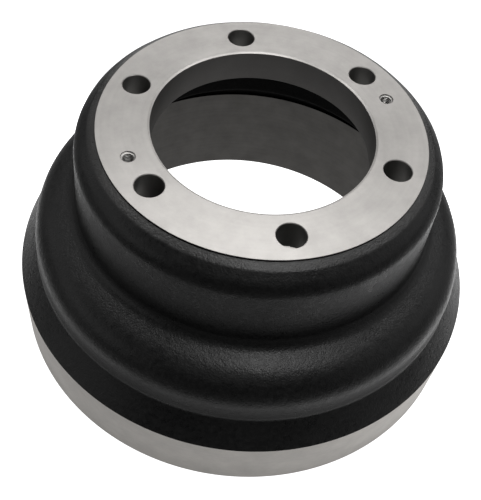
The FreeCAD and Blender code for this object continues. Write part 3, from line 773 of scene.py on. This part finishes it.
class DRUM_OT_leave_burr(bpy.types.Operator):
    """Leave the sliver of metal that the drill pushed up at the front bolt hole"""

    bl_idname = "drum.leave_burr"
    bl_label = "Drilling Burr"

    def execute(self, context):
        sizes = context.scene.drum_sizes
        front = -math.pi / 2
        burr_turn = math.radians(-109.0)
        steps = 22
        thickness = 0.0003
        overlap = 0.0002
        even_share = 0.75
        ragged_share = 0.5
        centre = polar(AXIS, sizes.bolt_ring, front)
        outer = sizes.bolt_radius + sizes.bolt_break
        half = sizes.burr_length / 2 / outer
        shape = bmesh.new()
        rows = []
        for i in range(steps + 1):
            along = 2 * i / steps - 1
            turn = burr_turn + along * half
            share = even_share + ragged_share * noise.noise((along * 3, 0, 7))
            reach = sizes.burr_reach * (1 - along * along) * share
            root = outer + overlap
            tip = outer - reach - overlap
            corners = ((root, 0.0), (root, -2.0 * thickness),
                       (tip, -1.5 * thickness), (tip, -0.4 * thickness))
            rows.append([shape.verts.new((*polar(centre, radius, turn), sizes.height + height))
                         for radius, height in corners])
        for row, following in zip(rows, rows[1:]):
            for k in range(len(row)):
                after = (k + 1) % len(row)
                shape.faces.new((row[k], row[after], following[after], following[k]))
        shape.faces.new(rows[0])
        shape.faces.new(rows[-1])
        face = bpy.data.materials["turned_mounting_face"]
        build_piece("drilling_burr", shape, [face])
        return {"FINISHED"}


def from_heading(heading, right, back, up):
    """World place of a point given to the right, back and up from the camera's heading."""
    return Matrix.Rotation(-heading, 3, "Z") @ Vector((right, back, up))


# Point that the softboxes face.
DRUM_MIDDLE = (0.0, 0.0, 0.12)

# Each softbox's name, place to the right, back and up from the camera's heading, width and depth,
# and brightness.
SOFTBOXES = (
    ("overhead_strip", (0.03, 0.02, 1.7), (0.50, 1.0), 2.3),
    ("overhead_softbox", (0.0, 0.54, 1.75), (2.2, 0.8), 2.3),
    ("front_softbox", (0.42, -0.54, 1.65), (0.60, 0.50), 3.2),
    ("front_canopy", (0.35, -0.85, 1.5), (2.1, 0.9), 0.22),
    ("back_softbox", (0.22, 1.02, 1.6), (2.6, 1.5), 0.92),
    ("front_card", (0.1, -1.7, 1.45), (1.6, 0.9), 0.14),
    ("right_panel", (1.7, 0.9, 0.8), (2.0, 1.0), 0.26),
    ("left_panel", (-1.7, 0.9, 0.8), (2.0, 1.0), 0.14),
    ("left_fill", (-1.5, 0.1, 1.25), (2.2, 1.6), 0.25),
    ("right_fill", (1.5, 0.0, 1.2), (2.0, 1.6), 0.20),
    ("left_low_fill", (-1.7, -0.9, 0.4), (1.6, 0.8), 0.35),
    ("right_low_fill", (1.7, -0.9, 0.4), (1.6, 0.8), 0.12),
    ("rear_panel", (0.0, 2.0, 0.5), (2.4, 1.1), 1.3),
)


def softbox(name, heading, place, size, brightness):
    """Softbox that faces the drum from its place."""
    lamp = bpy.data.lights.new(name, "AREA")
    lamp.shape = "RECTANGLE"
    lamp.size, lamp.size_y = size
    lamp.energy = brightness * math.pi * size[0] * size[1]
    lamp_object = bpy.data.objects.new(name, lamp)
    lamp_object.visible_camera = False
    place = from_heading(heading, *place)
    toward = (Vector(DRUM_MIDDLE) - place).normalized()
    across = from_heading(heading, 1, 0, 0)
    along = toward.cross(across).normalized()
    across = along.cross(toward)
    turn = Matrix((across, -along, -toward)).transposed()
    lamp_object.matrix_world = Matrix.Translation(place) @ turn.to_4x4()
    bpy.context.scene.collection.objects.link(lamp_object)


def pale_floor_material(studio):
    """Pale matt floor with a pool of light, which the camera sees evenly bright."""
    unevenness = 0.02
    board = NodeBoard("pale_floor")
    tone = board.noise(board.place, scale=6.0, detail=3.0)
    pale = (studio.floor_tone,) * 3
    board.join(board.blend_colours(tone, lighter(pale, 1 - unevenness),
                                   lighter(pale, 1 + unevenness)),
               board.shader.inputs["Base Color"])
    board.shader.inputs["Roughness"].default_value = 0.9
    board.shader.inputs["Specular IOR Level"].default_value = 0.1
    board.shader.inputs["Emission Color"].default_value = (1, 1, 1, 1)
    away = board.add("ShaderNodeVectorMath", operation="DISTANCE")
    board.join(board.place, away.inputs[0])
    away.inputs[1].default_value = from_heading(studio.camera_heading, *studio.glow_place, 0)
    pool = board.between(away.outputs["Value"], studio.floor_glow, 0,
                         studio.glow_core, studio.glow_reach)
    pool.node.interpolation_type = "SMOOTHSTEP"
    under = board.add("ShaderNodeVectorMath", operation="LENGTH")
    board.join(board.place, under.inputs[0])
    shade = board.between(under.outputs["Value"], studio.shade_share, 1,
                          studio.shade_start, studio.shade_end)
    fringe = board.between(under.outputs["Value"], 1, studio.fringe_share,
                           studio.fringe_start, studio.fringe_end)
    pool = board.math("MULTIPLY", pool, board.math("MULTIPLY", shade, fringe))
    seen = board.add("ShaderNodeLightPath").outputs["Is Camera Ray"]
    glow = board.math("ADD", board.math("MULTIPLY", seen, studio.floor_shine), pool)
    board.join(glow, board.shader.inputs["Emission Strength"])
    return board.material


# The floor lies just below the drum, so that their faces don't share a plane.
FLOOR_GAP = 0.0004


class DRUM_OT_set_stage(bpy.types.Operator):
    """Set the pale floor, the softboxes and the camera"""

    bl_idname = "drum.set_stage"
    bl_label = "Studio"

    def execute(self, context):
        scene = context.scene
        studio = scene.drum_studio
        half = studio.floor_size / 2
        below = -FLOOR_GAP
        mesh = bpy.data.meshes.new("floor")
        mesh.from_pydata([(-half, -half, below), (half, -half, below), (half, half, below),
                          (-half, half, below)], [], [(0, 1, 2, 3)])
        mesh.materials.append(pale_floor_material(studio))
        floor = bpy.data.objects.new("floor", mesh)
        scene.collection.objects.link(floor)

        heading = studio.camera_heading
        for name, place, size, brightness in SOFTBOXES:
            softbox(name, heading, place, size, brightness)

        world = bpy.data.worlds.new("studio_room")
        world.use_nodes = True
        background = world.node_tree.nodes["Background"]
        background.inputs["Color"].default_value = (1, 1, 1, 1)
        seen = world.node_tree.nodes.new("ShaderNodeLightPath").outputs["Is Camera Ray"]
        strength = world.node_tree.nodes.new("ShaderNodeMapRange")
        strength.inputs["To Min"].default_value = studio.room_tone
        world.node_tree.links.new(seen, strength.inputs["Value"])
        world.node_tree.links.new(strength.outputs["Result"], background.inputs["Strength"])
        scene.world = world
        scene.view_settings.view_transform = "Standard"

        camera = bpy.data.cameras.new("photo_camera")
        camera.lens = studio.camera_lens
        camera_object = bpy.data.objects.new("photo_camera", camera)
        turn = (Matrix.Rotation(-studio.camera_heading, 4, "Z")
                @ Matrix.Rotation(math.pi / 2 - studio.camera_tilt, 4, "X")
                @ Matrix.Rotation(studio.camera_roll, 4, "Z"))
        camera_object.matrix_world = Matrix.Translation(studio.camera_place) @ turn
        scene.collection.objects.link(camera_object)
        scene.camera = camera_object
        return {"FINISHED"}


class DRUM_PT_panel(bpy.types.Panel):
    """Buttons and settings of the brake drum"""

    bl_idname = "DRUM_PT_panel"
    bl_label = "Brake Drum"
    bl_space_type = "VIEW_3D"
    bl_region_type = "UI"
    bl_category = "Brake Drum"

    def draw(self, context):
        layout = self.layout
        for operator in OPERATORS:
            layout.operator(operator.bl_idname)
        scene = context.scene
        for group in (scene.drum_sizes, scene.drum_finish, scene.drum_studio):
            box = layout.box()
            for name in group.bl_rna.properties.keys():
                if name not in ("rna_type", "name"):
                    box.prop(group, name)


OPERATORS = (DRUM_OT_cast_drum, DRUM_OT_leave_burr, DRUM_OT_set_stage)
CLASSES = (DrumSizes, DrumFinish, DrumStudio, *OPERATORS, DRUM_PT_panel)


def register():
    """Add the drum's classes and settings."""
    for cls in CLASSES:
        bpy.utils.register_class(cls)
    bpy.types.Scene.drum_sizes = PointerProperty(type=DrumSizes)
    bpy.types.Scene.drum_finish = PointerProperty(type=DrumFinish)
    bpy.types.Scene.drum_studio = PointerProperty(type=DrumStudio)


def unregister():
    """Remove the drum's classes and settings."""
    del bpy.types.Scene.drum_studio
    del bpy.types.Scene.drum_finish
    del bpy.types.Scene.drum_sizes
    for cls in reversed(CLASSES):
        bpy.utils.unregister_class(cls)


def main():
    """Build the drum and its studio."""
    register()
    bpy.ops.drum.cast_drum()
    bpy.ops.drum.leave_burr()
    bpy.ops.drum.set_stage()


if __name__ == "__main__":
    main()
